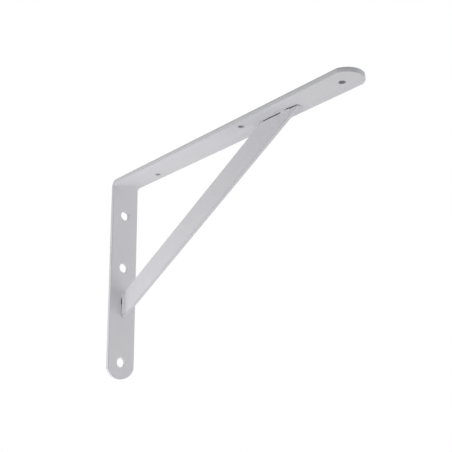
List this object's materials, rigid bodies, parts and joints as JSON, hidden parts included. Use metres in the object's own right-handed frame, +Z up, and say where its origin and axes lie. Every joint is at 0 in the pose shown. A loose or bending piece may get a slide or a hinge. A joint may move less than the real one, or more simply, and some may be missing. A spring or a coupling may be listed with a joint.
{
  "type": "shelf bracket",
  "caption": "Shelf bracket: a flat bar folded to a right angle, with round ends and screw holes, stiffened by a diagonal flat bar welded on edge.",
  "frame": {"origin": "middle of the top wall hole, in the wall face", "axes": "+X out from the wall along the arm, +Z up towards the shelf, +Y across the bar"},
  "size_m": [0.33, 0.03, 0.207],
  "materials": {
    "white_coat": "satin powder coat"
  },
  "bodies": {
    "root": {"folded_bar": "white_coat", "diagonal_brace": "white_coat"}
  },
  "joints": []
}
